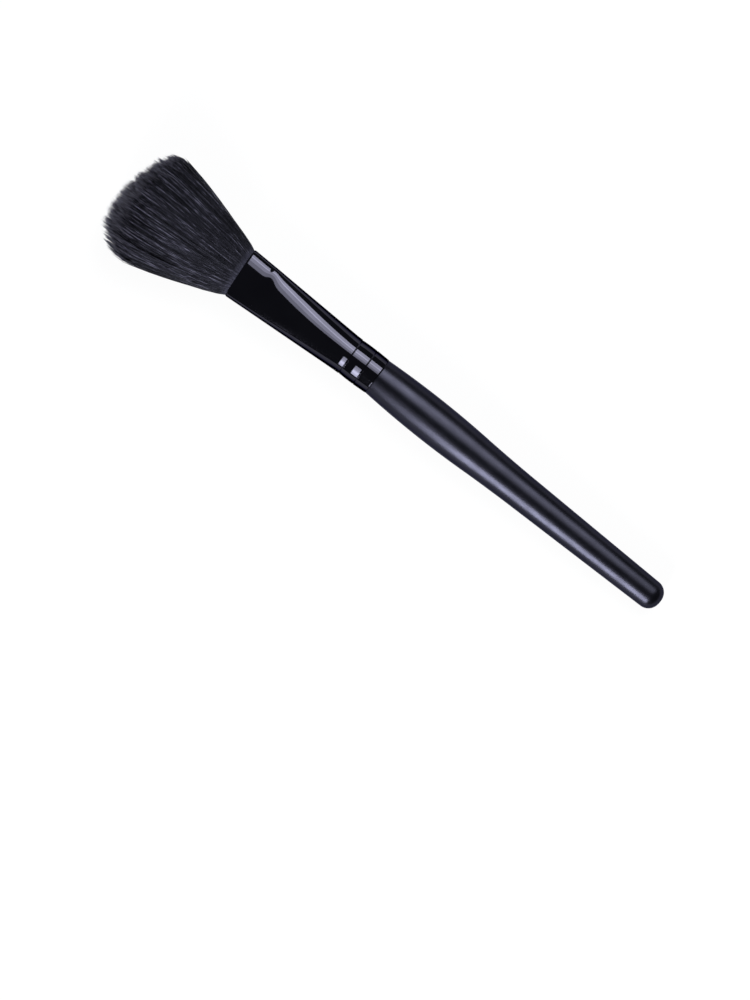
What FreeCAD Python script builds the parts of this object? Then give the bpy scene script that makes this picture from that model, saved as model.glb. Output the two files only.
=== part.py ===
import FreeCAD, Part
import math
import os

from FreeCAD import Placement, Rotation, Vector

# Blush brush, lying on its hair and on the tail end of its handle. Millimetres, +Z up.
# X runs from the tail to the hair, and Y along the wide side of the oval mouth.
# The handle is drawn along X from its tail. Ferrule, resin plug and hair are drawn
# along X from the ferrule's handle end, and then placed on the end of the handle.

# Handle: diameters, and where they are measured from the tail
HANDLE_LEN = 93.3
TAIL_D = 7.8
TAIL_ROUND = 3.4
GRIP_D = 9.4
GRIP_AT = 46.0
SWELL_D = 9.8
SWELL_AT = 53.0
RISE_D = 10.4
RISE_AT = 60.0
BELLY_D = 11.35
BELLY_AT = 75.5
NECK_D = 10.2
TENON_CHAMFER = 0.8

# Ferrule: round at the handle, pressed to a flat-sided oval with a collar at the mouth.
# The squareness of a section is 2 for an ellipse, and grows as its sides get flatter.
FERRULE_LEN = 44.0
FERRULE_END_D = 10.4
FERRULE_ROUND_D = 10.75
FERRULE_ROUND_LEN = 10.3
MOUTH_WIDTH = 14.1
MOUTH_THICK = 7.4
MOUTH_SQUARENESS = 3.0
COLLAR_LEN = 7.4
COLLAR_THICK = 7.7
THICKNESS_CURVE = 1.3
SQUARENESS_CURVE = 1.6
BODY_BANDS = 10
COLLAR_BANDS = 2
SECTION_POINTS = 48
LIP_LEN = 0.5
LIP_IN = 0.2
WALL = 0.35
CRIMPS_AT = (3.85, 8.4)
CRIMP_DEPTH = 0.12
CRIMP_WIDTH = 0.6

# Hair: its length is measured from the mouth to the tips in the middle of the crown
HAIR_LEN = 36.9
HAIR_WIDTH = 30.2
HAIR_THICK = 17.0
SHOULDER_AT = 27.2
FLARE_CURVE = 0.8
CROWN_CURVE = 2.35
SIDE_STEPS = 7
LOCK_RINGS = 18
SECTORS = 6
FLUTE_DEPTH = 0.6
TIP_RISE = 1.6
UNEVENNESS = 0.5
LOCK_SHIFT = 0.3

# Hair roots and the resin that binds them
ROOT_LEN = 15.0
PLUG_LEN = 7.0
PLUG_BANDS = 2

# The glue's thickness, and the small slants that the brush was put together with, in degrees
GLUE_GAP = 0.05
FERRULE_LEAN = 1.45
HAIR_LEAN = 1.1
MOUTH_SKEW = 3.5
SHOULDER_SKEW = 6.0
CROWN_SKEW = -4.0

# How many times the slope that the brush lies at is worked out anew, from nearer each time
LEVELLING_TURNS = 6

ORIGIN = Vector(0, 0, 0)
ALONG = Vector(1, 0, 0)
ACROSS = Vector(0, 1, 0)
UP = Vector(0, 0, 1)


def blend(low, high, share):
    """Give the value at a share of the way from low to high"""
    return low + (high - low) * share


def uneven(number):
    """Give a fixed but irregular value from -1 to 1 for a whole number"""
    return 2.0 * ((math.sin(number * 12.9898) * 43758.5453) % 1.0) - 1.0


def oval_point(at, half_width, half_thick, squareness, angle):
    """Give a point of an oval that stands across X, by its angle in a round ring"""
    cosine = math.cos(angle)
    sine = math.sin(angle)
    reach = (abs(cosine) ** squareness + abs(sine) ** squareness) ** (-1 / squareness)
    return Vector(at, half_width * reach * cosine, half_thick * reach * sine)


def closed(points):
    return Part.makePolygon(list(points) + [points[0]])


def turned(outline):
    """Turn a face round X from the edges of its outline, which ends on the axis"""
    profile = Part.Wire(Part.sortEdges(outline)[0])
    return Part.Face(profile).revolve(ORIGIN, ALONG, 360)


def turned_handle(spare):
    """Turn the handle from its rounded tail to its neck, with some spare length"""
    tail_radius = TAIL_D / 2
    corner = tail_radius - TAIL_ROUND
    bend = TAIL_ROUND * math.sin(math.radians(45))
    flat_end = Vector(0, corner, 0)
    tail_bend = Vector(TAIL_ROUND - bend, corner + bend, 0)
    tail_side = Vector(TAIL_ROUND, tail_radius, 0)
    grip = Vector(GRIP_AT, GRIP_D / 2, 0)
    swell = Vector(SWELL_AT, SWELL_D / 2, 0)
    rise = Vector(RISE_AT, RISE_D / 2, 0)
    belly = Vector(BELLY_AT, BELLY_D / 2, 0)
    neck = Vector(HANDLE_LEN, NECK_D / 2, 0)
    neck_end = Vector(HANDLE_LEN + spare, NECK_D / 2, 0)
    curves = [
        Part.Arc(flat_end, tail_bend, tail_side),
        Part.LineSegment(tail_side, grip),
        Part.Arc(grip, swell, rise),
        Part.Arc(rise, belly, neck),
    ]
    ends = Part.makePolygon([neck, neck_end, Vector(HANDLE_LEN + spare, 0, 0), ORIGIN, flat_end])
    return turned([curve.toShape() for curve in curves] + ends.Edges)


def tenon():
    """Make the peg that fills the ferrule's round part and the crimps that hold it"""
    peg = sleeve_form(WALL + GLUE_GAP)
    tip_edges = [edge for edge in peg.Edges if edge.BoundBox.XMin > FERRULE_ROUND_LEN - GLUE_GAP]
    return peg.makeChamfer(TENON_CHAMFER, tip_edges)


def make_handle():
    spare = NECK_D * math.sin(math.radians(abs(FERRULE_LEAN)))
    beyond = on_handle(Part.makeCylinder(NECK_D, NECK_D, ORIGIN, ALONG))
    return turned_handle(spare).cut(beyond).fuse(on_handle(tenon()))


def ferrule_half(at):
    """Give the ferrule's outer half width and half thickness at a distance from its end"""
    if at <= FERRULE_ROUND_LEN:
        half = blend(FERRULE_END_D, FERRULE_ROUND_D, at / FERRULE_ROUND_LEN) / 2
        return half, half
    widened = (at - FERRULE_ROUND_LEN) / (FERRULE_LEN - FERRULE_ROUND_LEN)
    half_width = blend(FERRULE_ROUND_D, MOUTH_WIDTH, widened) / 2
    pressed = pressed_share(at)
    if pressed < 1:
        return half_width, blend(FERRULE_ROUND_D, COLLAR_THICK, pressed ** THICKNESS_CURVE) / 2
    collar_share = 1 - (FERRULE_LEN - at) / COLLAR_LEN
    return half_width, blend(COLLAR_THICK, MOUTH_THICK, collar_share) / 2


def pressed_share(at):
    """Give how far the ferrule is pressed, from 0 in its round part to 1 at the collar"""
    share = (at - FERRULE_ROUND_LEN) / (FERRULE_LEN - COLLAR_LEN - FERRULE_ROUND_LEN)
    return min(1.0, max(0.0, share))


def ferrule_squareness(at):
    return blend(2.0, MOUTH_SQUARENESS, pressed_share(at) ** SQUARENESS_CURVE)


def ferrule_section(at, inset):
    """Draw the ferrule's oval, which turns towards the skewed mouth within the collar"""
    half_width, half_thick = ferrule_half(at)
    if pressed_share(at) == 0:
        return Part.Wire(Part.makeCircle(half_width - inset, Vector(at, 0, 0), ALONG))
    squareness = ferrule_squareness(at)
    points = []
    for step in range(SECTION_POINTS):
        angle = 2 * math.pi * step / SECTION_POINTS
        points.append(oval_point(0, half_width - inset, half_thick - inset, squareness, angle))
    curve = Part.BSplineCurve()
    curve.interpolate(Points=points, PeriodicFlag=True)
    ring = Part.Wire(curve.toShape())
    collar_share = max(0.0, 1 - (FERRULE_LEN - at) / COLLAR_LEN)
    ring.rotate(ORIGIN, UP, MOUTH_SKEW * collar_share)
    ring.translate(Vector(at, 0, 0))
    return ring


def ruled_form(start, end, bands, inset):
    """Make the ferrule's form between two distances from its end, in straight bands"""
    places = [blend(start, end, band / bands) for band in range(bands + 1)]
    return Part.makeLoft([ferrule_section(at, inset) for at in places], True, True)


def sleeve_form(inset):
    """Turn the ferrule's round part with its rolled crimps, smaller all round by the inset"""
    grooves = []
    for at in CRIMPS_AT:
        grooves += [(at - CRIMP_WIDTH / 2, 0.0), (at, CRIMP_DEPTH), (at + CRIMP_WIDTH / 2, 0.0)]
    outline = [ORIGIN]
    for at, depth in [(0.0, 0.0)] + grooves + [(FERRULE_ROUND_LEN, 0.0)]:
        outline.append(Vector(at, ferrule_half(at)[0] - inset - depth, 0))
    outline.append(Vector(FERRULE_ROUND_LEN, 0, 0))
    return turned(closed(outline).Edges)


def ferrule_form(inset):
    """Make the full form of the ferrule, smaller all round by the inset"""
    collar_at = FERRULE_LEN - COLLAR_LEN
    lip_at = FERRULE_LEN - LIP_LEN
    body = ruled_form(FERRULE_ROUND_LEN, collar_at, BODY_BANDS, inset)
    collar = ruled_form(collar_at, lip_at, COLLAR_BANDS, inset)
    rolled = []
    for degrees in (0, 45, 90):
        angle = math.radians(degrees)
        inward = LIP_IN * (1 - math.cos(angle))
        rolled.append(ferrule_section(lip_at + LIP_LEN * math.sin(angle), inset + inward))
    return sleeve_form(inset).fuse([body, collar, Part.makeLoft(rolled, True, True)])


def make_ferrule():
    return on_handle(ferrule_form(0.0).cut(ferrule_form(WALL)))


def make_resin_plug():
    roots_at = FERRULE_LEN - ROOT_LEN
    return on_handle(ruled_form(roots_at - PLUG_LEN, roots_at, PLUG_BANDS, WALL + GLUE_GAP))


def hair_skew(along):
    """Give how far a cut across the hair is turned, from none at the roots' ends"""
    if along <= 0:
        return MOUTH_SKEW * (1 + along / ROOT_LEN)
    if along <= SHOULDER_AT:
        return blend(MOUTH_SKEW, SHOULDER_SKEW, along / SHOULDER_AT)
    return blend(SHOULDER_SKEW, CROWN_SKEW, (along - SHOULDER_AT) / (HAIR_LEN - SHOULDER_AT))


def hair_point(along, across, up):
    """Place a point of the hair, given from the middle of the mouth"""
    skew = math.tan(math.radians(hair_skew(along)))
    lean = math.tan(math.radians(HAIR_LEAN)) * max(0.0, along)
    return Vector(FERRULE_LEN + along - across * skew, across + lean, up)


def is_tip(ring, step):
    """Tell the lock tips from the valleys of the crown's triangular lattice"""
    return ring == 0 or (ring + step % ring) % 3 == 0


def valley_depth(ring, step):
    return 0.0 if is_tip(ring, step) else FLUTE_DEPTH * (1 + UNEVENNESS * uneven(7 * step + ring))


def crown_point(ring, step):
    """Place a lock tip or a valley on the domed crown, whose last ring is the shoulder"""
    share = ring / LOCK_RINGS
    number = 3 * ring * ring + step
    shift = LOCK_SHIFT * (1 - share)
    reach = math.sin(math.pi / 2 * share)
    rise = (1 - reach ** CROWN_CURVE) ** (1 / CROWN_CURVE)
    angle = 2 * math.pi * (step + shift * uneven(number)) / (SECTORS * max(ring, 1))
    across = HAIR_WIDTH / 2 * reach * math.cos(angle)
    up = HAIR_THICK / 2 * reach * math.sin(angle)
    along = SHOULDER_AT + (HAIR_LEN - TIP_RISE - SHOULDER_AT) * rise
    point = Vector(along, across, up)
    if is_tip(ring, step):
        in_mouth = Vector(0, across * MOUTH_WIDTH / HAIR_WIDTH, up * MOUTH_THICK / HAIR_THICK)
        lock = (point - in_mouth).normalize()
        point += lock * TIP_RISE * math.sqrt(rise) * (1 - UNEVENNESS * abs(uneven(number + 1)))
    else:
        outward = Vector(rise, reach * math.cos(angle), reach * math.sin(angle))
        point -= outward * valley_depth(ring, step)
    return hair_point(point.x, point.y, point.z)


def side_ring(share, half_width, half_thick, along):
    """Draw one closed ring of the hair's side, fluted more the nearer it is to the shoulder"""
    squareness = blend(ferrule_squareness(FERRULE_LEN + min(0.0, along)), 2.0, share)
    points = []
    for step in range(SECTORS * LOCK_RINGS):
        angle = 2 * math.pi * step / (SECTORS * LOCK_RINGS)
        depth = share * valley_depth(LOCK_RINGS, step)
        point = oval_point(along, half_width - depth, half_thick - depth, squareness, angle)
        points.append(hair_point(point.x, point.y, point.z))
    return points


def hair_rings():
    """List the rings of the hair's side, from the ends of its roots to its shoulder"""
    rings = []
    skin = WALL + GLUE_GAP
    for depth, rolled_in in ((ROOT_LEN, 0.0), (COLLAR_LEN, 0.0), (LIP_LEN, 0.0), (0.0, LIP_IN)):
        outer_width, outer_thick = ferrule_half(FERRULE_LEN - depth)
        half_width = outer_width - skin - rolled_in
        half_thick = outer_thick - skin - rolled_in
        rings.append(side_ring(0.0, half_width, half_thick, -depth))
    for step in range(1, SIDE_STEPS):
        share = (step / SIDE_STEPS) ** 2
        wide = blend(half_width, HAIR_WIDTH / 2, share ** FLARE_CURVE)
        thick = blend(half_thick, HAIR_THICK / 2, share ** FLARE_CURVE)
        rings.append(side_ring(share, wide, thick, SHOULDER_AT * share))
    rings.append([crown_point(LOCK_RINGS, step) for step in range(SECTORS * LOCK_RINGS)])
    return rings


def crown_faces():
    """Join the crown's lattice into facets, ring by ring and sector by sector"""
    rings = [[crown_point(ring, step) for step in range(max(1, SECTORS * ring))]
             for ring in range(LOCK_RINGS + 1)]
    corners = []
    for ring in range(1, LOCK_RINGS + 1):
        outer = rings[ring]
        inner = rings[ring - 1]
        for sector in range(SECTORS):
            for step in range(ring):
                first = outer[sector * ring + step]
                second = outer[(sector * ring + step + 1) % len(outer)]
                near = inner[(sector * (ring - 1) + step) % len(inner)]
                corners.append((first, second, near))
                if step < ring - 1:
                    beside = inner[(sector * (ring - 1) + step + 1) % len(inner)]
                    corners.append((near, second, beside))
    return [Part.Face(closed(triangle)) for triangle in corners]


def make_tuft():
    rings = hair_rings()
    side = Part.makeLoft([closed(ring) for ring in rings], False, True)
    root_end = Part.Face(closed(rings[0]))
    skin = Part.makeShell(side.Faces + [root_end] + crown_faces())
    skin.sewShape()
    return on_handle(Part.makeSolid(skin))


def on_handle(shape):
    """Carry a shape from the ferrule's own axis to its place on the end of the handle"""
    placed = shape.copy()
    placed.Placement = Placement(Vector(HANDLE_LEN, 0, 0), Rotation(UP, FERRULE_LEAN))
    return placed


def laid_down(pieces):
    """Rest the hair and the tail on the ground, with the origin under the brush's middle"""
    between = HANDLE_LEN + FERRULE_LEN + SHOULDER_AT
    slope = 0.0
    for attempt in range(LEVELLING_TURNS):
        turn = Placement(ORIGIN, Rotation(ACROSS, -slope)).toMatrix()
        turned_pieces = {name: shape.transformed(turn) for name, shape in pieces.items()}
        tail_low = turned_pieces["handle"].optimalBoundingBox(False, False).ZMin
        hair_low = turned_pieces["tuft"].optimalBoundingBox(False, False).ZMin
        slope += math.degrees(math.atan((tail_low - hair_low) / between))
    box = Part.makeCompound(list(turned_pieces.values())).optimalBoundingBox(False, False)
    for shape in turned_pieces.values():
        shape.translate(Vector(-box.Center.x, -box.Center.y, -box.ZMin))
    return turned_pieces


def main():
    pieces = {
        "handle": make_handle(),
        "ferrule": make_ferrule(),
        "resin_plug": make_resin_plug(),
        "tuft": make_tuft(),
    }
    os.makedirs("parts", exist_ok=True)
    for name, shape in laid_down(pieces).items():
        shape.exportStep("parts/" + name + ".step")


main()
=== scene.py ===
import math

import bpy
import numpy as np
from mathutils import Euler, Matrix, Vector


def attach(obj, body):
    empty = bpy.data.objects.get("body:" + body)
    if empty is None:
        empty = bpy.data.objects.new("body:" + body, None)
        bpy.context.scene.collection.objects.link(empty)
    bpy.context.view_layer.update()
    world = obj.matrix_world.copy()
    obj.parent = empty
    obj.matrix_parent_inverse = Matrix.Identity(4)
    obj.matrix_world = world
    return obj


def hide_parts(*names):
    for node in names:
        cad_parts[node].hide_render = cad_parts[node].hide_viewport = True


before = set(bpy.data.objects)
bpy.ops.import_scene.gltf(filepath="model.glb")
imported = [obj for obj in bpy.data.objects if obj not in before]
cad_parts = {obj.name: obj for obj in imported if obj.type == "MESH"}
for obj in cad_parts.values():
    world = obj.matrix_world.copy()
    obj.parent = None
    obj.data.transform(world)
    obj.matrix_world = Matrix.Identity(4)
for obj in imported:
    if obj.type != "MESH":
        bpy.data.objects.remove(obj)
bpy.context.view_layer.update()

# Sizes in millimetres, as in the part. The handle is drawn along X from its tail, ferrule
# and hair along X from the ferrule's handle end, and both are then carried to the frame.
MM = 0.001

HANDLE_LEN = 93.3
TAIL_D = 7.8
TAIL_ROUND = 3.4
GRIP_D = 9.4
GRIP_AT = 46.0
SWELL_D = 9.8
SWELL_AT = 53.0
RISE_D = 10.4
RISE_AT = 60.0
BELLY_D = 11.35
BELLY_AT = 75.5
NECK_D = 10.2
TENON_D = 9.6
TENON_LEN = 10.2
TENON_CHAMFER = 0.8

FERRULE_LEN = 44.0
# The round part of the ferrule: its diameters, with a low ridge between the two crimps
SLEEVE_D = (10.4, 10.72, 10.68, 10.702, 10.55, 10.7, 10.735)
SLEEVE_AT = (0.0, 3.6, 4.1, 6.2, 8.15, 8.65, 10.1)
MOUTH_WIDTH = 14.1
MOUTH_THICK = 7.4
MOUTH_SQUARENESS = 3.4
SQUARENESS_CURVE = 2.3
COLLAR_LEN = 7.4
COLLAR_THICK = 7.7
CREASE_SQUARENESS = 0.85
CREASE_WIDTH = (1.8, 1.25)
CREASE_DEPTH = 0.06
LIP_LEN = 0.5
LIP_IN = 0.2
WALL = 0.35
CRIMPS_AT = (3.85, 8.4)
CRIMP_DEPTH = 0.12
CRIMP_WIDTH = 0.32
PINCHES_AT = (34.9, 35.5, 36.2, 36.9)
PINCH_DEPTH = 0.03
WRINKLE_DEPTH = 0.010

HAIR_LEN = 36.9
HAIR_WIDTH = 30.2
HAIR_THICK = 17.0
SHOULDER_AT = 27.2
FLARE_CURVE = 0.8
CROWN_CURVE = 2.5
ROOT_LEN = 15.0
GLUE_GAP = 0.05
MOUTH_SKEW = math.radians(3.5)
SHOULDER_SKEW = math.radians(6.0)
CROWN_SKEW = math.radians(-4.0)
HAIR_LEAN = math.radians(1.1)
FERRULE_LEAN = math.radians(1.45)

# Where the brush lies: the middle of the handle's tail, and how much the handle slopes up
TAIL_MIDDLE = Vector((-86.981, -2.398, 3.803))
SLOPE = math.radians(1.6354)

# Hairs: their number and thickness, and where along each its points are
STRANDS = 12600
STRAND_PIECES = 5
STRAND_R = 0.104
STRAND_SHARES = np.array([0, 0.045, 0.12, 0.22, 0.34, 0.46, 0.58, 0.70, 0.82, 0.93, 1.0])
STRAND_TAPER = ((0, 0.7, 0.93, 1.0), (1.0, 0.95, 0.60, 0.12))
# Half of the hairs lie in the outer layer, which is this share of the bundle's half size
OUTER_SHARE = 0.5
OUTER_LAYER = 0.13
# Locks and teeth that the tips gather in. A lock's size is a share of the half width.
LOCKS = 460
LOCK_SIZE = 0.05
LOCK_SHORT = 1.3
TIP_SCATTER = 0.24
TEETH = 46
# Fringe of the crown: how far single hairs end before it, and its thin corner and its dip
FRINGE = 0.75
THIN_CORNER = (-0.74, 0.20)
DIP = (-0.5, 0.2)
DIP_DEPTH = 0.8
# Loose hairs at the narrow sides: their share, how much shorter they are and how far off
LOOSE_SHARE = 0.22
LOOSE_SHORT = (0.5, 9.0)
LOOSE_OFF = 0.45
# Waves of the hairs, and how deep streaks of them are sunk, for wide and narrow streaks
SIDE_WAVE = 0.07
SIDE_JITTER = 0.05
DEEP_WAVE = 0.10
STREAK_WIDTH = 0.27
STREAK_DEPTH = (0.10, 0.34)
# Tones: the lengths of the pale painted light at the tips and of the painted light at the
# roots, and of the flecks along a hair
PAINTED_TIP_LIGHT_LEN = 3.0
PAINTED_ROOT_LIGHT_LEN = 4.0
FLECK_LEN = 2.8
FLECK_STRENGTH = 0.6
FLECK_STARTS = 500.0
# No hair reaches lower than this over the floor, in metres
LOWEST_HAIR = 0.00004

# Lamps: strips between two angles from straight above, each with its radiance. The long bank
# stands on one side, with its far part dimmer, and the windows stand on the other.
BANK_STRIPS = ((10.0, 20.0, 3.3), (20.0, 34.0, 5.6), (34.0, 39.0, 10.5), (39.0, 55.0, 6.7))
BANK_FAR = 0.58
WINDOW_STRIPS = ((24.0, 36.0, 6.0), (36.0, 46.0, 8.0), (46.0, 52.0, 12.0),
                 (52.0, 66.0, 17.5), (66.0, 80.0, 14.0))
TAIL_WINDOW = (46.0, 80.0, 28.0)
# Where the lamps start and end along the brush, and how far off they stand, in metres
BANK_NEAR_X = (-0.08, 0.20)
BANK_FAR_X = (-0.24, -0.08)
WINDOW_X = (-0.038, -0.009)
TAIL_WINDOW_X = (-0.235, -0.100)
LAMP_DISTANCE = 0.7
COOL_WHITE = (0.97, 0.98, 1.0)
WORLD_COLOR = (0.9, 0.93, 1.0, 1.0)
WORLD_STRENGTH = 0.11

# Floor: its half size in metres, and how much of it is plain white to camera and mirrors
FLOOR_HALF = 3.0
FLOOR_COLOR = (0.86, 0.86, 0.87, 1.0)
FLOOR_WHITE = 1.03
FLOOR_WHITE_SHARE = 0.9

# Camera: straight above, its height over the brush's middle and what the picture spans there
CAMERA_OVER = (-0.013094, 0.022784)
CAMERA_HEIGHT = 0.710
SHARP_HEIGHT = 0.006
PICTURE_HEIGHT = 0.25726
SENSOR_HEIGHT = 36.0
CAMERA_TURN = math.radians(38.509)

rng = np.random.default_rng(7)

lying = Matrix.Translation(TAIL_MIDDLE) @ Matrix.Rotation(-SLOPE, 4, "Y")
ferrule_place = (lying @ Matrix.Translation((HANDLE_LEN, 0, 0))
                 @ Matrix.Rotation(FERRULE_LEAN, 4, "Z"))
in_metres = Matrix.Scale(MM, 4)


def blend(low, high, share):
    """Go from one value to another by a share"""
    return low + (high - low) * share


def smooth(share):
    """Ease a share in and out, from 0 to 1"""
    share = np.clip(share, 0, 1)
    return share * share * (3 - 2 * share)


def bell(at, middle, width):
    """Rise to 1 at a middle, and fall off within about a width"""
    return np.exp(-((at - middle) / width) ** 2)


def placed(points, place):
    """Carry an array of points in millimetres to the frame, in metres"""
    m = np.array(in_metres @ place)
    return points @ m[:3, :3].T + m[:3, 3]


def make_mesh(name, points, faces, material, tones=None, body="root"):
    """Make a smooth mesh object that rides on the brush"""
    mesh = bpy.data.meshes.new(name)
    mesh.vertices.add(len(points))
    mesh.vertices.foreach_set("co", points.astype(np.float32).ravel())
    corners = np.concatenate([f.ravel() for f in faces]).astype(np.int32)
    sizes = np.concatenate([np.full(len(f), f.shape[1]) for f in faces]).astype(np.int32)
    starts = np.concatenate([[0], np.cumsum(sizes)[:-1]]).astype(np.int32)
    mesh.loops.add(len(corners))
    mesh.loops.foreach_set("vertex_index", corners)
    mesh.polygons.add(len(sizes))
    mesh.polygons.foreach_set("loop_start", starts)
    mesh.polygons.foreach_set("loop_total", sizes)
    mesh.update(calc_edges=True)
    mesh.validate()
    mesh.polygons.foreach_set("use_smooth", np.ones(len(sizes), bool))
    if tones is not None:
        layer = mesh.color_attributes.new("tone", "FLOAT_COLOR", "POINT")
        layer.data.foreach_set("color", tones.astype(np.float32).ravel())
    mesh.materials.append(material)
    piece = bpy.data.objects.new(name, mesh)
    bpy.context.scene.collection.objects.link(piece)
    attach(piece, body)
    return piece


def tube_faces(rings, around, loop=False):
    """List the quads between rings of points, which close on themselves where loop is set"""
    ring = np.arange(rings if loop else rings - 1)[:, None]
    step = np.arange(around)[None, :]
    following = (ring + 1) % rings
    beside = (step + 1) % around
    a = ring * around + step
    b = ring * around + beside
    c = following * around + beside
    d = following * around + step
    return np.stack([a, b, c, d], -1).reshape(-1, 4)


# Handle

def arc_radius(at, ends):
    """Give radii along a shallow arc through three places, each with its diameter"""
    radius = 0
    for place, diameter in ends:
        weight = diameter / 2
        for other, _ in ends:
            if other != place:
                weight = weight * (at - other) / (place - other)
        radius = radius + weight
    return radius


def handle_radius(at):
    """Give the turned handle's radius at distances from its tail"""
    bend = np.clip(TAIL_ROUND - at, 0, TAIL_ROUND)
    tail = TAIL_D / 2 - TAIL_ROUND + np.sqrt(TAIL_ROUND ** 2 - bend ** 2)
    grip = blend(TAIL_D, GRIP_D, (at - TAIL_ROUND) / (GRIP_AT - TAIL_ROUND)) / 2
    swell = arc_radius(at, ((GRIP_AT, GRIP_D), (SWELL_AT, SWELL_D), (RISE_AT, RISE_D)))
    belly = arc_radius(at, ((RISE_AT, RISE_D), (BELLY_AT, BELLY_D), (HANDLE_LEN, NECK_D)))
    return np.select([at < TAIL_ROUND, at < GRIP_AT, at < RISE_AT], [tail, grip, swell], belly)


def turned_rings(at, radius, angle):
    """Give rings of points around X, in their order along it"""
    return np.stack([np.repeat(at[:, None], len(angle), 1),
                     radius[:, None] * np.cos(angle), radius[:, None] * np.sin(angle)], -1)


def make_handle(material):
    """Make the turned handle, with the peg that the ferrule sits on"""
    around = 160
    angle = np.arange(around) * 2 * math.pi / around
    tail_bend = TAIL_ROUND * (1 - np.cos(np.radians(np.linspace(0, 90, 19))))
    at = np.concatenate([tail_bend, np.linspace(TAIL_ROUND, HANDLE_LEN - 0.3, 150)[1:]])
    radius = handle_radius(at)
    rings = turned_rings(at, radius, angle)
    peg_at = np.array([0.0, 0.0, TENON_LEN - TENON_CHAMFER, TENON_LEN])
    peg_radius = np.array([NECK_D, TENON_D, TENON_D, TENON_D - 2 * TENON_CHAMFER]) / 2
    peg = turned_rings(peg_at, peg_radius, angle)
    points = np.concatenate([placed(rings.reshape(-1, 3), lying),
                             placed(peg.reshape(-1, 3), ferrule_place)])
    count = len(at) + len(peg_at)
    tail_end = np.arange(around)[::-1][None, :]
    peg_end = ((count - 1) * around + np.arange(around))[None, :]
    handle = make_mesh("handle_turned", points, [tube_faces(count, around), tail_end, peg_end],
                       material)
    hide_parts("handle")


# Ferrule

def pressed_share(at):
    """Give how far the round sleeve has been pressed to the collar's shape, from 0 to 1"""
    start = SLEEVE_AT[-1]
    return np.clip((at - start) / (FERRULE_LEN - COLLAR_LEN - start), 0, 1)


def collar_share(at):
    """Give how far along the collar a distance from the ferrule's end is, from 0 to 1"""
    return np.clip(1 - (FERRULE_LEN - at) / COLLAR_LEN, 0, 1)


def ferrule_half(at):
    """Give the outer half width and half thickness at distances from the ferrule's end"""
    start = SLEEVE_AT[-1]
    sleeve = np.interp(at, SLEEVE_AT, SLEEVE_D) / 2
    widened = (at - start) / (FERRULE_LEN - start)
    half_width = blend(SLEEVE_D[-1], MOUTH_WIDTH, widened) / 2
    body = blend(SLEEVE_D[-1], COLLAR_THICK, pressed_share(at)) / 2
    collar = blend(COLLAR_THICK, MOUTH_THICK, collar_share(at)) / 2
    half_thick = np.where(at > FERRULE_LEN - COLLAR_LEN, collar, body)
    is_round = at <= start
    return np.where(is_round, sleeve, half_width), np.where(is_round, sleeve, half_thick)


def ferrule_squareness(at):
    """Give how flat-sided the sections are: 2 is an ellipse"""
    return blend(2.0, MOUTH_SQUARENESS, pressed_share(at) ** SQUARENESS_CURVE)


def oval_reach(angle, squareness):
    """Give how far a flat-sided oval reaches at an angle, as a share of its half sizes"""
    flat = np.abs(np.cos(angle)) ** squareness + np.abs(np.sin(angle)) ** squareness
    return flat ** (-1 / squareness)


def skewed(points, at):
    """Turn the rings within the collar towards the skewed mouth"""
    turn = MOUTH_SKEW * collar_share(at)
    x = points[..., 0] * np.cos(turn) - points[..., 1] * np.sin(turn)
    y = points[..., 0] * np.sin(turn) + points[..., 1] * np.cos(turn)
    return np.stack([x + at, y, points[..., 2]], -1)


def outer_places():
    """List where the ferrule's outer rings are: closer at crimps, edges and crease"""
    near_crimps = [np.linspace(middle - 0.5, middle + 0.5, 31) for middle in CRIMPS_AT]
    places = [np.linspace(0, FERRULE_LEN - LIP_LEN, 90), SLEEVE_AT, np.linspace(0, 0.15, 5),
              np.linspace(33.6, 39.2, 45)] + near_crimps
    return np.unique(np.round(np.concatenate(places), 3))


def ferrule_rings():
    """List the distances of the ferrule's rings, how far in from the outside each is, and
    which are outside: along the outside, over the rolled lip, and back along the bore"""
    outer_at = outer_places()
    rolled = np.radians(np.linspace(9, 90, 10))
    at = np.concatenate([outer_at, FERRULE_LEN - LIP_LEN + LIP_LEN * np.sin(rolled)])
    inset = np.concatenate([np.zeros(len(outer_at)), LIP_IN * (1 - np.cos(rolled))])
    inset[:3] = (0.05, 0.02, 0.005)
    bore_at = np.linspace(FERRULE_LEN - LIP_LEN, 0, 24)
    at = np.concatenate([at, [FERRULE_LEN - 0.1], bore_at])
    inset = np.concatenate([inset, [WALL + LIP_IN], np.full(len(bore_at), WALL)])
    outside = np.arange(len(at)) < len(outer_at) + len(rolled)
    return at, inset, outside


def crease_dents(at, angle, crease_at, crease_share, pressed_side):
    """Give the depth of the crease, of a wavy line along it and of small pinches at it"""
    wander = crease_at + 0.25 * np.sin(angle * 5 + 1.3) + 0.12 * np.sin(angle * 11)
    broken = 0.3 + 0.7 * np.sin(angle * 9 + 0.6) ** 4
    wrinkles = WRINKLE_DEPTH * bell(at[:, None], wander, 0.16) * broken
    corner = bell(np.abs(np.cos(angle)), 0.78, 0.10)
    pinches = sum(PINCH_DEPTH * bell(at, place, 0.12) for place in PINCHES_AT)
    ripple = np.sin(angle * 31 + at[:, None] * 4) ** 2
    dent = wrinkles + pinches[:, None] * corner * pressed_side * ripple
    broad_side = smooth((0.78 - np.abs(np.cos(angle))) / 0.4)
    return dent + CREASE_DEPTH * crease_share * broad_side


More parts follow.
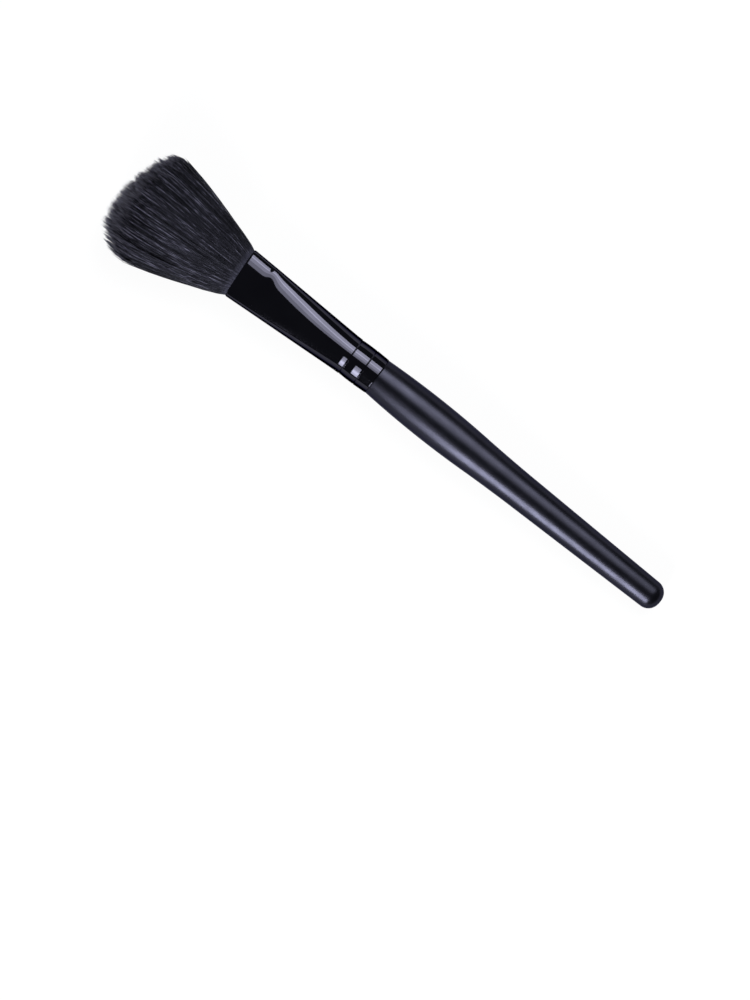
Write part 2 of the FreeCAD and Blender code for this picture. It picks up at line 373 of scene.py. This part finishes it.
def make_ferrule(material):
    """Make the thin tube, with crimps, a pressed collar and a rolled lip"""
    around = 224
    angle = np.arange(around) * 2 * math.pi / around
    at, inset, outside = ferrule_rings()
    half_width, half_thick = ferrule_half(at)
    # The crease where the collar was pressed is flatter, on the pressed side alone
    crease_at = FERRULE_LEN - COLLAR_LEN
    pressed_side = smooth(0.5 - np.cos(angle))
    crease = bell(at, crease_at, np.where(at < crease_at, *CREASE_WIDTH))
    crease_share = crease[:, None] * pressed_side
    squareness = ferrule_squareness(at)[:, None] + CREASE_SQUARENESS * crease_share
    reach = oval_reach(angle[None, :], squareness)
    y = (half_width - inset)[:, None] * reach * np.cos(angle)
    z = (half_thick - inset)[:, None] * reach * np.sin(angle)
    depth = sum(CRIMP_DEPTH * bell(at, middle, CRIMP_WIDTH * 0.36) for middle in CRIMPS_AT)
    dent = crease_dents(at, angle, crease_at, crease_share, pressed_side)
    radial = np.hypot(y, z)
    factor = 1 - np.where(outside, depth, 0)[:, None] / radial
    factor = factor - np.where(outside[:, None], dent, 0) / radial
    points = np.stack([np.zeros_like(y), y * factor, z * factor], -1)
    points = skewed(points, at[:, None])
    faces = tube_faces(len(at), around, loop=True)
    points = placed(points.reshape(-1, 3), ferrule_place)
    ferrule = make_mesh("ferrule_pressed", points, [faces], material)
    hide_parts("ferrule")


# Hair

def hair_point(along, across, up):
    """Place points of the hair, given from the middle of the mouth"""
    roots = MOUTH_SKEW * np.clip(1 + along / ROOT_LEN, 0, 1)
    side = blend(MOUTH_SKEW, SHOULDER_SKEW, along / SHOULDER_AT)
    crown = blend(SHOULDER_SKEW, CROWN_SKEW, (along - SHOULDER_AT) / (HAIR_LEN - SHOULDER_AT))
    skew = np.tan(np.select([along <= 0, along <= SHOULDER_AT], [roots, side], crown))
    lean = math.tan(HAIR_LEAN) * np.clip(along, 0, None)
    return np.stack([FERRULE_LEN + along - across * skew, across + lean, up], -1)


def hair_half(along):
    """Give the half width and half thickness of the hair bundle at distances from the mouth"""
    root_width = MOUTH_WIDTH / 2 - WALL - GLUE_GAP - LIP_IN
    root_thick = MOUTH_THICK / 2 - WALL - GLUE_GAP - LIP_IN
    share = np.clip(along / SHOULDER_AT, 0, 1) ** FLARE_CURVE
    return blend(root_width, HAIR_WIDTH / 2, share), blend(root_thick, HAIR_THICK / 2, share)


def hair_squareness(along):
    """Give how flat-sided the bundle's sections are: 2 is an ellipse"""
    return blend(3.0, 2.0, np.clip(along / SHOULDER_AT, 0, 1))


def crown_along(reach):
    """Give how far the hair's tips stand from the mouth, at a share of the half width"""
    rise = np.clip(1 - np.clip(reach, 0, 1) ** CROWN_CURVE, 0, 1) ** (1 / CROWN_CURVE)
    return blend(SHOULDER_AT, HAIR_LEN, rise)


def crown_reach(along):
    """Give the share of the half width that the crown still has at distances from the mouth"""
    rise = np.clip((along - SHOULDER_AT) / (HAIR_LEN - SHOULDER_AT), 0, 0.98)
    return (1 - rise ** CROWN_CURVE) ** (1 / CROWN_CURVE)


def make_core(material):
    """Make the dark middle of the hair bundle, which the strands cover; its near black is
    painted shade of the bundle's inside
    """
    around = 96
    angle = np.arange(around) * 2 * math.pi / around
    shrink = 0.9
    dome_at = SHOULDER_AT - 2
    side_along = np.concatenate([[-2.0], np.linspace(0, dome_at, 22)])
    side_width, side_thick = hair_half(side_along)
    bend = np.radians(np.linspace(6, 84, 14))
    dome_along = dome_at + (HAIR_LEN - SHOULDER_AT - 2) * np.sin(bend)
    end_width, end_thick = hair_half(np.array(dome_at))
    along = np.concatenate([side_along, dome_along])
    reach = oval_reach(angle[None, :], hair_squareness(along)[:, None])
    width = shrink * np.concatenate([side_width, end_width * np.cos(bend)])
    thick = shrink * np.concatenate([side_thick, end_thick * np.cos(bend)])
    points = hair_point(np.repeat(along[:, None], around, 1),
                        width[:, None] * reach * np.cos(angle),
                        thick[:, None] * reach * np.sin(angle))
    count = len(along)
    faces = tube_faces(count, around)
    root_end = np.arange(around)[::-1][None, :]
    top_end = ((count - 1) * around + np.arange(around))[None, :]
    points = placed(points.reshape(-1, 3), ferrule_place)
    core = make_mesh("hair_core", points, [faces, root_end, top_end], material)
    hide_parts("tuft")


def scattered(count):
    """Scatter points over a round disc of radius 1"""
    reach = np.sqrt(rng.random(count))
    angle = rng.random(count) * 2 * math.pi
    return reach * np.cos(angle), reach * np.sin(angle)


def streak_values(u, v, width):
    """Give one random value from 0 to 1 to all hairs of a streak of this width"""
    columns = np.floor((u + 1.2) * HAIR_WIDTH / 2 / width).astype(int)
    rows = np.floor((v + 1.2) * HAIR_THICK / 2 / width).astype(int)
    return rng.random((columns.max() + 1, rows.max() + 1))[columns, rows]


def lock_tips(u, v, outer, reach):
    """Lean the tips towards the middles of their locks, within the bundle's outline. Give
    them with the number of each one's lock, and how far from its middle the hair starts."""
    lock_u, lock_v = scattered(LOCKS)
    stretch = HAIR_THICK / HAIR_WIDTH
    apart = (u[:, None] - lock_u) ** 2 + ((v[:, None] - lock_v) * stretch) ** 2
    lock = np.argmin(apart, axis=1)
    from_middle = np.clip(np.sqrt(apart.min(axis=1)) / LOCK_SIZE, 0, 1.3)
    pull = 0.30 + 0.45 * rng.random(len(u))
    stray_u = rng.normal(size=len(u)) * TIP_SCATTER / (HAIR_WIDTH / 2)
    tip_u = u + (lock_u[lock] - u) * pull + stray_u
    stray_v = rng.normal(size=len(u)) * TIP_SCATTER / (HAIR_THICK / 2)
    tip_v = v + (lock_v[lock] - v) * pull + stray_v
    tip_reach = np.maximum(np.hypot(tip_u, tip_v), 1e-6)
    keep = np.minimum(1, 1.01 / tip_reach)
    outward = np.where(outer, np.clip(reach / tip_reach, 1, 1.06), 1)
    return tip_u * keep * outward, tip_v * keep * outward, lock, from_middle


def tooth_tips(tip_u):
    """Gather the tips across the crown in narrow ranks, most of all at its corners. Give
    them with how much shorter each rank is."""
    edges = np.cumsum(blend(0.5, 1.5, rng.random(TEETH)))
    edges = np.concatenate([[-1.1], edges / edges[-1] * 2.2 - 1.1])
    tooth = np.clip(np.searchsorted(edges, tip_u) - 1, 0, TEETH - 1)
    corner = smooth((np.abs(tip_u) - 0.5) / 0.35)
    tooth_short = rng.random(TEETH)[tooth] * blend(0.2, 0.9, corner)
    middle = (edges[tooth] + edges[tooth + 1]) / 2
    return blend(tip_u, middle, blend(0.06, 0.25, corner)), tooth_short


def tip_ends(tip_u, tip_reach, broad, lock, from_middle, tooth_short, at_narrow_side):
    """Give how far from the mouth the tips are, and which hairs are loose ones"""
    count = len(tip_u)
    # Hairs on the broad sides reach on over the crown
    over = 1 - broad * (0.02 + 0.20 * rng.random(count))
    # The middle hairs of a lock are its longest
    lock_short = (LOCK_SHORT * rng.random(LOCKS) ** 2)[lock] + DIP_DEPTH * bell(tip_u, *DIP)
    thin_corner = bell(tip_u, *THIN_CORNER)
    own_short = (rng.exponential(FRINGE, count) * (1 + 1.1 * thin_corner)
                 + 0.9 * from_middle ** 1.5)
    # A few loose hairs stand off the narrow sides, and end before the others
    loose = at_narrow_side & (rng.random(count) < LOOSE_SHARE)
    loose_short = LOOSE_SHORT[0] + LOOSE_SHORT[1] * rng.random(count)
    own_short = np.where(loose, loose_short, own_short)
    tip_along = (crown_along(tip_reach * over) - lock_short - own_short - tooth_short
                 + 0.95 + 0.45 * thin_corner)
    return tip_along, loose


def strand_waves(count):
    """Give slow waves sideways and up and down, so that hairs come to the top and dive
    again, and the phases that they start from"""
    share = STRAND_SHARES
    held = smooth(share * 5)[None, :] * blend(1.0, 0.5, smooth(share))[None, :]
    phase = rng.random((count, 2)) * 2 * math.pi
    turns = blend(0.7, 2.0, rng.random((count, 2))) * 2 * math.pi
    side_wave = SIDE_WAVE * held * np.sin(phase[:, :1] + turns[:, :1] * share)
    side_wave = side_wave + SIDE_JITTER * held * rng.normal(size=(count, len(share)))
    deep_wave = DEEP_WAVE * held * (np.sin(phase[:, 1:] + turns[:, 1:] * share) - 0.5)
    return side_wave, deep_wave, phase


def strand_tones(u, v, tip_u, tip_along, along, phase):
    """Give the tones at every point: red is how light a hair is, with a little painted shade
    towards the narrow sides, green how much painted light lies near its tip, blue how much
    painted light lies near the mouth, and alpha runs along the hair in steps of one fleck,
    from another start for each hair"""
    count = len(u)
    # Random tone, less a little painted shade that darkens the hairs towards both narrow sides
    # of the bundle
    tone = (0.13 * streak_values(u, v, STREAK_WIDTH)
            + 0.08 * streak_values(u, v, 3 * STREAK_WIDTH)
            + 0.79 * rng.random(count) - 0.025 * np.abs(u))
    # Painted light: tips near the crown's edge and at the thin corner are paler, standing in
    # for the floor's light showing through thin tips, a little less at the flanks
    at_edge = smooth((tip_along - crown_along(np.abs(tip_u)) + 3.2) / 2.2)
    painted_tip_light = blend(0.84, 1.0, rng.random(count)) * blend(0.92, 1.0, at_edge)
    flank = smooth(np.abs(tip_u) / 0.7)
    painted_tip_light = painted_tip_light * (1 + 0.25 * bell(tip_u, *THIN_CORNER) - 0.12 * flank)
    drift = (0.08 * np.sin(phase[:, :1] * 3 + 16.0 * STRAND_SHARES)
             + blend(-0.06, 0.12, smooth(along / HAIR_LEN)))
    return np.stack([
        tone[:, None] + drift - 0.5 * FLECK_STRENGTH,
        np.clip(1 - (tip_along[:, None] - along) / PAINTED_TIP_LIGHT_LEN, 0, 1) * painted_tip_light[:, None],
        np.clip(1 - along / PAINTED_ROOT_LIGHT_LEN, 0, 1),
        along / FLECK_LEN + FLECK_STARTS * rng.random(count)[:, None]], -1)


def strand_lines():
    """Draw the middle line of every hair, with its thickness and its tones"""
    count = STRANDS
    share = STRAND_SHARES
    outer = rng.random(count) < OUTER_SHARE
    reach = np.where(outer, 1 - OUTER_LAYER * rng.random(count) ** 1.2,
                     np.sqrt(rng.random(count)) * 0.94)
    angle = rng.random(count) * 2 * math.pi
    u = reach * np.cos(angle)
    v = reach * np.sin(angle)
    tip_u, tip_v, lock, from_middle = lock_tips(u, v, outer, reach)
    tip_u, tooth_short = tooth_tips(tip_u)
    tip_reach = np.clip(np.hypot(tip_u, tip_v), 1e-6, 1)
    broad = (tip_v / tip_reach) ** 2
    at_narrow_side = outer & (np.abs(np.cos(angle)) > 0.9)
    tip_along, loose = tip_ends(
        tip_u, tip_reach, broad, lock, from_middle, tooth_short, at_narrow_side)
    start_along = np.where(outer, -1.2, 6.0 * rng.random(count))
    along = start_along[:, None] + (tip_along - start_along)[:, None] * share
    # From root to tip, with what bends over the crown kept within its curve
    clump = smooth((share - 0.25) / 0.75)[None, :]
    line_u = u[:, None] + (tip_u - u)[:, None] * clump
    line_v = v[:, None] + (tip_v - v)[:, None] * clump
    line_reach = np.maximum(np.hypot(line_u, line_v), 1e-6)
    bound = np.minimum(1, (crown_reach(along) + 0.02) / line_reach)
    line_v = line_v * blend(1, bound, 0.75 * broad[:, None])
    flat = oval_reach(np.arctan2(line_v, line_u), hair_squareness(along))
    side_wave, deep_wave, phase = strand_waves(count)
    width, thick = hair_half(along)
    sunk = (STREAK_DEPTH[0] * streak_values(u, v, 3 * STREAK_WIDTH)
            + STREAK_DEPTH[1] * streak_values(u, v, STREAK_WIDTH))
    sunk = sunk[:, None] * smooth(share * 2)[None, :]
    stands_off = np.where(loose, LOOSE_OFF, 0.0)[:, None] * smooth(share * 1.4 - 0.4)[None, :]
    sunk_sideways = sunk * np.abs(np.sin(angle))[:, None]
    width = width * flat + deep_wave + 0.12 + stands_off - sunk_sideways
    thick = thick * flat + deep_wave - sunk
    across = line_u * width - np.sin(angle)[:, None] * side_wave
    up = line_v * thick + np.cos(angle)[:, None] * side_wave
    lines = hair_point(along, across, up)
    profile = np.interp(share, *STRAND_TAPER)
    radius = STRAND_R * (0.75 + 0.5 * rng.random(count))[:, None] * profile
    return lines, radius, strand_tones(u, v, tip_u, tip_along, along, phase)


def make_strands(material):
    """Make every hair a thin three-sided tube that tapers to its tip"""
    lines, radius, tones = strand_lines()
    points = placed(lines.reshape(-1, 3), ferrule_place).reshape(lines.shape)
    radius = radius * MM
    tangent = np.gradient(points, axis=1)
    tangent /= np.linalg.norm(tangent, axis=2, keepdims=True)
    side = np.cross(tangent, np.array([0.0, 0.0, 1.0]))
    side /= np.linalg.norm(side, axis=2, keepdims=True)
    over = np.cross(side, tangent)
    turn = rng.random(len(points)) * 2 * math.pi
    corners = []
    for corner in range(3):
        a = turn[:, None, None] + corner * 2 * math.pi / 3
        corners.append(points + (side * np.cos(a) + over * np.sin(a)) * radius[..., None])
    solid = np.stack(corners, 2)
    solid[..., 2] = np.maximum(solid[..., 2], LOWEST_HAIR + solid[..., 2] * 0.001)
    rows = len(STRAND_SHARES)
    one = tube_faces(rows, 3)
    ends = np.array([[2, 1, 0], [rows * 3 - 3, rows * 3 - 2, rows * 3 - 1]])
    for number, part in enumerate(np.array_split(np.arange(len(points)), STRAND_PIECES)):
        base = (np.arange(len(part)) * rows * 3)[:, None, None]
        quads = (one[None] + base).reshape(-1, 4)
        caps = (ends[None] + base).reshape(-1, 3)
        tone = np.repeat(tones[part][:, :, None, :], 3, axis=2).reshape(-1, 4)
        piece = make_mesh("hair_strands_%d" % (number + 1), solid[part].reshape(-1, 3),
                          [quads, caps], material, tone)
        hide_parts("tuft")


# Materials

def new_material(name):
    """Give a new material, its node tree and its shader"""
    material = bpy.data.materials.new(name)
    material.use_nodes = True
    tree = material.node_tree
    return material, tree, tree.nodes["Principled BSDF"]


def add(tree, kind, **inputs):
    """Add a node and set its inputs, with _ for a space in their names"""
    node = tree.nodes.new(kind)
    for name, value in inputs.items():
        node.inputs[name.replace("_", " ")].default_value = value
    return node


def calculated(tree, operation, *values):
    """Add a Math node, whose inputs are numbers or other nodes' outputs"""
    node = tree.nodes.new("ShaderNodeMath")
    node.operation = operation
    for socket, value in zip(node.inputs, values):
        if isinstance(value, float):
            socket.default_value = value
        else:
            tree.links.new(value, socket)
    return node.outputs["Value"]


def noise(tree, place, detail=3.0, roughness=0.5):
    """Add a noise texture at a place"""
    node = add(tree, "ShaderNodeTexNoise", Scale=1.0, Detail=detail, Roughness=roughness)
    tree.links.new(place, node.inputs["Vector"])
    return node.outputs["Fac"]


def ramp(tree, value, stops):
    """Turn a value to a colour between stops"""
    node = tree.nodes.new("ShaderNodeValToRGB")
    elements = node.color_ramp.elements
    while len(elements) < len(stops):
        elements.new(0.5)
    for element, (place, color) in zip(elements, stops):
        element.position = place
        element.color = color if len(color) == 4 else tuple(color) + (1.0,)
    tree.links.new(value, node.inputs["Fac"])
    return node.outputs["Color"]


def mixed(tree, share, first, second_color):
    """Mix a colour that comes from a node with a fixed second one"""
    node = tree.nodes.new("ShaderNodeMix")
    node.data_type = "RGBA"
    tree.links.new(share, node.inputs["Factor"])
    tree.links.new(first, node.inputs["A"])
    node.inputs["B"].default_value = second_color
    return node.outputs["Result"]


def grey(value):
    """Give a colour without hue"""
    return (value, value, value)


def bump(tree, shader, height, strength, distance):
    """Raise a fine relief on a shader"""
    node = add(tree, "ShaderNodeBump", Strength=strength, Distance=distance)
    tree.links.new(height, node.inputs["Height"])
    tree.links.new(node.outputs["Normal"], shader.inputs["Normal"])


def stretched_place(tree, along, across):
    """Give the object's own coordinates, scaled so that a texture runs along the brush"""
    place = tree.nodes.new("ShaderNodeTexCoord")
    sizes = add(tree, "ShaderNodeMapping", Scale=(along, across, across))
    tree.links.new(place.outputs["Object"], sizes.inputs["Vector"])
    return sizes.outputs["Vector"]


def lacquer_material():
    """Make satin black lacquer, a little cloudy and finely brushed"""
    material, tree, shader = new_material("satin_black_lacquer")
    fine = noise(tree, stretched_place(tree, 300, 900), 4.0, 0.6)
    cloudy = noise(tree, stretched_place(tree, 70, 260))
    base = ramp(tree, cloudy, [(0.3, (0.021, 0.0212, 0.030)), (0.7, (0.027, 0.0272, 0.038))])
    tree.links.new(base, shader.inputs["Base Color"])
    rough = ramp(tree, fine, [(0.25, grey(0.28)), (0.75, grey(0.37))])
    tree.links.new(rough, shader.inputs["Roughness"])
    shader.inputs["Metallic"].default_value = 1.0
    shader.inputs["Specular Tint"].default_value = (0.45, 0.45, 0.50, 1.0)
    bump(tree, shader, fine, 0.25, 0.00004)
    return material


def ferrule_material():
    """Make gloss black metal, with faint lines from drawing the tube"""
    material, tree, shader = new_material("gloss_black_metal")
    drawn = noise(tree, stretched_place(tree, 60, 2600), 3.0, 0.6)
    cloudy = noise(tree, stretched_place(tree, 120, 160), 2.0)
    base = ramp(tree, cloudy, [(0.3, (0.034, 0.0335, 0.0445)), (0.7, (0.041, 0.0405, 0.0535))])
    tree.links.new(base, shader.inputs["Base Color"])
    rough = ramp(tree, drawn, [(0.3, grey(0.035)), (0.8, grey(0.065))])
    tree.links.new(rough, shader.inputs["Roughness"])
    shader.inputs["Metallic"].default_value = 1.0
    shader.inputs["Specular Tint"].default_value = (0.10, 0.10, 0.12, 1.0)
    bump(tree, shader, drawn, 0.04, 0.00002)
    return material


def hair_material(name):
    """Give a new material with the dull, bluish shine of the hair"""
    material, tree, shader = new_material(name)
    shader.inputs["Specular IOR Level"].default_value = 0.2
    shader.inputs["Specular Tint"].default_value = (0.75, 0.76, 1.0, 1.0)
    return material, tree, shader


def shadow_material():
    """Make the near black painted shade of the bundle's inside"""
    material, tree, shader = hair_material("hair_shadow")
    flecks = noise(tree, stretched_place(tree, 200, 2500))
    base = ramp(tree, flecks, [(0.3, (0.002, 0.002, 0.003)), (0.7, (0.006, 0.006, 0.008))])
    tree.links.new(base, shader.inputs["Base Color"])
    shader.inputs["Roughness"].default_value = 0.8
    return material


def fibre_material():
    """Make the hairs' material, from the tones that each hair carries"""
    material, tree, shader = hair_material("hair_fibre")
    given = tree.nodes.new("ShaderNodeVertexColor")
    given.layer_name = "tone"
    split = tree.nodes.new("ShaderNodeSeparateColor")
    tree.links.new(given.outputs["Color"], split.inputs["Color"])
    flecks = add(tree, "ShaderNodeTexNoise", Scale=1.0, Detail=1.0)
    flecks.noise_dimensions = "1D"
    tree.links.new(given.outputs["Alpha"], flecks.inputs["W"])
    light = calculated(tree, "MULTIPLY_ADD", flecks.outputs["Fac"], FLECK_STRENGTH,
                       split.outputs["Red"])
    body = ramp(tree, light, [
        (0.32, (0.0010, 0.0010, 0.0015)), (0.60, (0.0050, 0.0050, 0.0075)),
        (0.78, (0.018, 0.0175, 0.0265)), (0.96, (0.130, 0.127, 0.177))])
    # Painted light: the hairs near the mouth are lightened towards a hazy bluish grey
    root = ramp(tree, split.outputs["Blue"], [(0.55, grey(0.0)), (1.0, grey(0.55))])
    # Painted light: the tips are lightened towards a pale grey, standing in for the floor's
    # light showing through them
    tip = ramp(tree, split.outputs["Green"], [(0.48, grey(0.0)), (0.95, grey(0.95))])
    root_painted_light = mixed(tree, root, body, (0.062, 0.061, 0.094, 1.0))
    pale = mixed(tree, tip, root_painted_light, (0.30, 0.295, 0.375, 1.0))
    tree.links.new(pale, shader.inputs["Base Color"])
    fine = noise(tree, stretched_place(tree, 900, 900))
    rough = ramp(tree, fine, [(0.3, grey(0.38)), (0.7, grey(0.52))])
    tree.links.new(rough, shader.inputs["Roughness"])
    return material


def resin_material():
    """Make the hardened resin around the hair roots"""
    material, tree, shader = new_material("amber_resin")
    cloudy = noise(tree, stretched_place(tree, 300, 300))
    base = ramp(tree, cloudy, [(0.3, (0.30, 0.22, 0.12)), (0.7, (0.45, 0.36, 0.22))])
    tree.links.new(base, shader.inputs["Base Color"])
    shader.inputs["Roughness"].default_value = 0.25
    return material


def floor_material():
    """Make a pale floor that keeps shadows, and looks white to the camera and in mirrors"""
    material = bpy.data.materials.new("pale_floor")
    material.use_nodes = True
    tree = material.node_tree
    tree.nodes.clear()
    out = tree.nodes.new("ShaderNodeOutputMaterial")
    diffuse = add(tree, "ShaderNodeBsdfDiffuse", Color=FLOOR_COLOR)
    white = add(tree, "ShaderNodeEmission", Color=(1.0, 1.0, 1.0, 1.0), Strength=FLOOR_WHITE)
    ray = tree.nodes.new("ShaderNodeLightPath").outputs
    seen = calculated(tree, "MAXIMUM", ray["Is Camera Ray"], ray["Is Glossy Ray"])
    seen = calculated(tree, "MAXIMUM", seen, ray["Is Transmission Ray"])
    part = calculated(tree, "MULTIPLY", seen, FLOOR_WHITE_SHARE)
    mix = tree.nodes.new("ShaderNodeMixShader")
    tree.links.new(part, mix.inputs["Fac"])
    tree.links.new(diffuse.outputs["BSDF"], mix.inputs[1])
    tree.links.new(white.outputs["Emission"], mix.inputs[2])
    tree.links.new(mix.outputs["Shader"], out.inputs["Surface"])
    return material


# Stage

def make_floor():
    """Make the plain floor that the brush lies on"""
    mesh = bpy.data.meshes.new("floor")
    half = FLOOR_HALF
    corners = [(-half, -half, 0), (half, -half, 0), (half, half, 0), (-half, half, 0)]
    mesh.from_pydata(corners, [], [(0, 1, 2, 3)])
    mesh.materials.append(floor_material())
    floor = bpy.data.objects.new("floor", mesh)
    bpy.context.scene.collection.objects.link(floor)


def make_softbox(name, side, angles, reach_x, radiance):
    """Put a flat softbox beside the brush, between two angles from straight above"""
    middle = math.radians(sum(angles) / 2) * side
    lamp = bpy.data.lights.new(name, "AREA")
    lamp.shape = "RECTANGLE"
    lamp.size = reach_x[1] - reach_x[0]
    lamp.size_y = 2 * LAMP_DISTANCE * math.tan(math.radians(angles[1] - angles[0]) / 2)
    lamp.energy = radiance * math.pi * lamp.size * lamp.size_y
    lamp.color = COOL_WHITE
    lamp_object = bpy.data.objects.new(name, lamp)
    lamp_object.location = (sum(reach_x) / 2, math.sin(middle) * LAMP_DISTANCE,
                            math.cos(middle) * LAMP_DISTANCE)
    lamp_object.rotation_euler = Euler((-middle, 0, 0))
    lamp_object.visible_camera = False
    bpy.context.scene.collection.objects.link(lamp_object)


def make_lamps():
    """Light the brush from both sides: a long bank of strips, and a short and a long window"""
    for number, (start, end, radiance) in enumerate(BANK_STRIPS):
        strip = (start, end)
        make_softbox("bank_near_%d" % number, -1, strip, BANK_NEAR_X, radiance)
        make_softbox("bank_far_%d" % number, -1, strip, BANK_FAR_X, radiance * BANK_FAR)
    for number, (start, end, radiance) in enumerate(WINDOW_STRIPS):
        make_softbox("window_%d" % number, 1, (start, end), WINDOW_X, radiance)
    make_softbox("window_tail", 1, TAIL_WINDOW[:2], TAIL_WINDOW_X, TAIL_WINDOW[2])


def make_camera():
    """Look straight down, with the brush's tail at the lower right"""
    camera = bpy.data.cameras.new("camera")
    camera.sensor_fit = "VERTICAL"
    camera.sensor_height = SENSOR_HEIGHT
    camera.lens = SENSOR_HEIGHT * CAMERA_HEIGHT / PICTURE_HEIGHT
    camera.clip_start = 0.01
    camera.clip_end = 20.0
    camera_object = bpy.data.objects.new("camera", camera)
    camera_object.location = (*CAMERA_OVER, CAMERA_HEIGHT + SHARP_HEIGHT)
    camera_object.rotation_euler = Euler((0, 0, math.pi + CAMERA_TURN))
    bpy.context.scene.collection.objects.link(camera_object)
    bpy.context.scene.camera = camera_object


def make_world():
    """Fill the shadows with a little even light"""
    world = bpy.data.worlds.new("studio")
    world.use_nodes = True
    back = world.node_tree.nodes["Background"]
    back.inputs["Color"].default_value = WORLD_COLOR
    back.inputs["Strength"].default_value = WORLD_STRENGTH
    bpy.context.scene.world = world


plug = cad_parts["resin_plug"]
plug.data.materials.clear()
plug.data.materials.append(resin_material())
make_handle(lacquer_material())
make_ferrule(ferrule_material())
make_core(shadow_material())
make_strands(fibre_material())

make_floor()
make_lamps()
make_world()
make_camera()
bpy.context.scene.view_settings.view_transform = "Standard"

bpy.context.view_layer.update()
